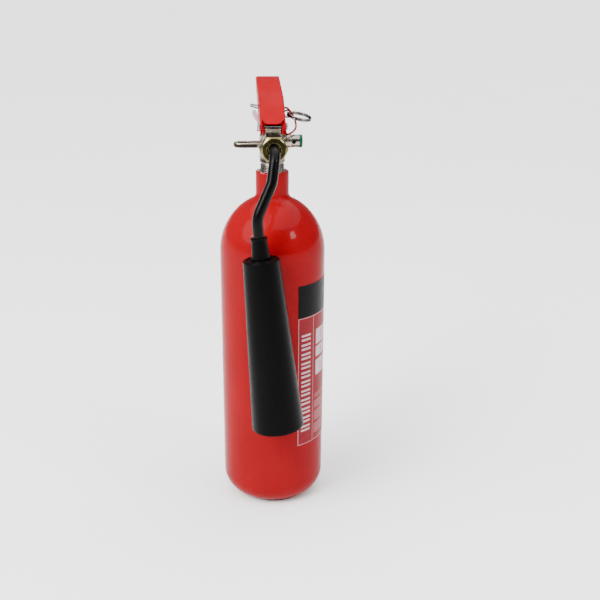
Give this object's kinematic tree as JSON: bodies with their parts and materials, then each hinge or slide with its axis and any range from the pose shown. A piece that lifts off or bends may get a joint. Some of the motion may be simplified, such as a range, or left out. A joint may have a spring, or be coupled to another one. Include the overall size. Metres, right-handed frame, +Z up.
{
  "type": "fire extinguisher",
  "caption": "Slim carbon dioxide fire extinguisher: domed red cylinder, squeeze-grip valve with safety pin and pull ring, and a black discharge horn on a swivelling bent tube.",
  "frame": {"origin": "centre of the base, on the plane it stands on", "axes": "+Z up the cylinder axis, -Y out of the valve outlet, +Y along the grip, +X towards the bursting-disc outlet and the middle of the label"},
  "size_m": [0.1195, 0.2229, 0.4863],
  "materials": {
    "red_enamel": "gloss red enamel on aluminium",
    "lever_red": "gloss red powder coat",
    "label_print": "printed vinyl label",
    "nickel_brass": "nickel-plated forged brass",
    "bare_brass": "dull turned brass",
    "zinc_steel": "zinc-plated steel",
    "chrome_wire": "polished chrome",
    "copper_disc": "soft copper foil",
    "alloy_tube": "drawn aluminium",
    "black_tube": "black powder-coated steel",
    "black_plastic": "satin black moulded plastic",
    "black_rubber": "rubber",
    "white_nylon": "white nylon",
    "green_plastic": "gloss green plastic",
    "seal_red": "red plastic seal",
    "seal_pink": "pale translucent plastic"
  },
  "bodies": {
    "cylinder": {"cylinder_shell": "red_enamel", "label_sheet": "label_print", "valve_body": "nickel_brass", "stem_gland": "nickel_brass", "stem_o_ring": "black_rubber", "spring_carrier": "bare_brass", "dip_tube": "alloy_tube", "burst_disc_washer": "white_nylon", "burst_disc": "copper_disc", "burst_plug": "nickel_brass", "burst_plug_cap": "green_plastic", "carry_handle": "lever_red", "pivot_pin": "zinc_steel", "handle_roll_pin": "zinc_steel", "seal_lock": "seal_red", "seal_tail": "seal_pink", "seal_tag": "seal_pink", "outlet_nut": "bare_brass", "swivel_washer": "white_nylon"},
    "lever": {"operating_lever": "lever_red"},
    "stem": {"valve_stem": "nickel_brass", "seat_seal": "white_nylon", "stem_spring": "zinc_steel"},
    "pin": {"safety_pin": "zinc_steel", "seal_strap": "seal_red"},
    "ring": {"pull_ring": "chrome_wire"},
    "horn": {"discharge_tube": "black_tube", "tube_collar": "zinc_steel", "horn_ferrule": "black_plastic", "horn_shell": "black_plastic", "horn_liner": "black_plastic", "horn_jet": "bare_brass"}
  },
  "joints": [
    {"name": "lever_hinge", "type": "hinge", "parent": "cylinder", "child": "lever", "pos_m": [0, -0.016, 0.446], "axis": [-1, 0, 0], "range_deg": [0, 10], "stiffness_Nm_per_rad": 2, "springref_deg": -5.73},
    {"name": "stem_slide", "type": "slide", "parent": "cylinder", "child": "stem", "axis": [0, 0, -1], "range_m": [0, 0.0038], "deforming": ["stem_spring"]},
    {"name": "pin_slide", "type": "slide", "parent": "cylinder", "child": "pin", "axis": [0.9683, -0.1361, -0.2096], "range_m": [0, 0.065]},
    {"name": "ring_hinge", "type": "hinge", "parent": "pin", "child": "ring", "pos_m": [0.0185, 0.0254, 0.4532], "axis": [0.1634, 0.9793, 0.1192], "range_deg": [-60, 0]},
    {"name": "horn_swivel", "type": "hinge", "parent": "cylinder", "child": "horn", "pos_m": [0, -0.035, 0.4245], "axis": [0, -1, 0], "range_deg": [-100, 100]}
  ],
  "couplings": [
    {"joint": "stem_slide", "follows": "lever_hinge", "m_per_rad": 0.0207}
  ]
}
